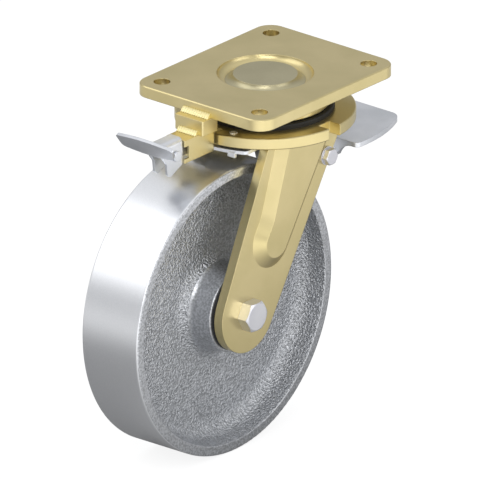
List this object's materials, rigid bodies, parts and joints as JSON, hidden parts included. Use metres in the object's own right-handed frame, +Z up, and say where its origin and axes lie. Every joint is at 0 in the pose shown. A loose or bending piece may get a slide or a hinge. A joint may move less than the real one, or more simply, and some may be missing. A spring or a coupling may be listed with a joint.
{
  "type": "heavy duty swivel castor",
  "caption": "Heavy duty swivel castor with a cast iron wheel, flat mounting plate, pedal brake and directional lock.",
  "frame": {"origin": "centre of the bolt pattern on the mounting plate's top face, on the swivel axis", "axes": "+Z up out of the plate's top face along the swivel axis, +X towards the brake pedal, with the wheel and the directional lock on the -X side, Y along the axle"},
  "size_m": [0.322, 0.1494, 0.305],
  "materials": {
    "yellow_zinc": "yellow passivated zinc plating, satin",
    "king_pin_steel": "turned and zinc plated, a little greyer than the plate",
    "weld_zinc": "zinc plated weld bead, rippled",
    "seal_rubber": "black rubber, matt",
    "cap_black": "black plastic, matt",
    "wheel_iron": "cast iron with silver grey paint, grainy on the web, finer on the tread",
    "white_zinc": "white zinc plated sheet, satin",
    "fastener_zinc": "bright zinc plating",
    "bearing_steel": "ground bearing steel"
  },
  "bodies": {
    "mounting_plate": {"top_plate": "yellow_zinc", "kingpin": "king_pin_steel", "thrust_race_upper": "bearing_steel", "taper_bearing_cone": "bearing_steel", "swivel_lock_disc": "bearing_steel", "tab_washer": "bearing_steel", "kingpin_nut": "bearing_steel", "lock_spacer_block": "yellow_zinc", "lock_guide_housing": "yellow_zinc", "lock_welds": "weld_zinc"},
    "fork": {"swivel_head": "yellow_zinc", "swivel_seal": "seal_rubber", "thrust_race_lower": "bearing_steel", "thrust_balls": "bearing_steel", "thrust_ball_cage": "bearing_steel", "taper_bearing_cup": "bearing_steel", "taper_rollers": "bearing_steel", "taper_roller_cage": "bearing_steel", "grease_nipple": "fastener_zinc", "fork_leg_left": "yellow_zinc", "fork_leg_right": "yellow_zinc", "leg_welds": "weld_zinc", "lock_plate_guides": "yellow_zinc", "axle_bolt": "fastener_zinc", "axle_washer": "fastener_zinc", "axle_nut": "fastener_zinc", "axle_sleeve": "bearing_steel", "wheel_bearing_inner_rings": "bearing_steel", "brake_pivot_bolt": "fastener_zinc", "brake_pivot_nut": "fastener_zinc", "brake_pivot_washers": "fastener_zinc", "pedal_shims": "bearing_steel"},
    "wheel": {"wheel_casting": "wheel_iron", "wheel_bearing_outer_rings": "bearing_steel", "wheel_bearing_balls": "bearing_steel", "wheel_bearing_cages": "bearing_steel", "wheel_bearing_seals": "seal_rubber", "hub_dust_caps": "cap_black"},
    "brake": {"brake_pedal": "white_zinc", "brake_shoe": "white_zinc"},
    "swivel_lock": {"swivel_lock_plate": "white_zinc"},
    "directional_lock": {"lock_bolt": "white_zinc", "lock_lever_pin": "white_zinc"},
    "lock_handle": {"lock_lever": "white_zinc"}
  },
  "joints": [
    {"name": "swivel", "type": "hinge", "parent": "mounting_plate", "child": "fork", "pos_m": [0, 0, 0], "axis": [0, 0, 1], "continuous": true},
    {"name": "wheel_spin", "type": "hinge", "parent": "fork", "child": "wheel", "pos_m": [-0.075, 0, -0.18], "axis": [0, 1, 0], "continuous": true},
    {"name": "brake_pedal_hinge", "type": "hinge", "parent": "fork", "child": "brake", "pos_m": [0.0252, 0, -0.0698], "axis": [0, 1, 0], "range_deg": [0, 15]},
    {"name": "swivel_lock_slide", "type": "slide", "parent": "fork", "child": "swivel_lock", "axis": [1, 0, 0], "range_m": [0, 0.0071]},
    {"name": "lock_bolt_slide", "type": "slide", "parent": "mounting_plate", "child": "directional_lock", "axis": [1, 0, 0], "range_m": [0, 0.0092]},
    {"name": "lock_lever_hinge", "type": "hinge", "parent": "directional_lock", "child": "lock_handle", "pos_m": [-0.124, 0, -0.034], "axis": [0, -1, 0], "range_deg": [0, 60.5]}
  ],
  "couplings": [
    {"joint": "swivel_lock_slide", "follows": "brake_pedal_hinge", "m_per_rad": 0.0267},
    {"joint": "lock_lever_hinge", "follows": "lock_bolt_slide", "rad_per_m": 113.64}
  ]
}
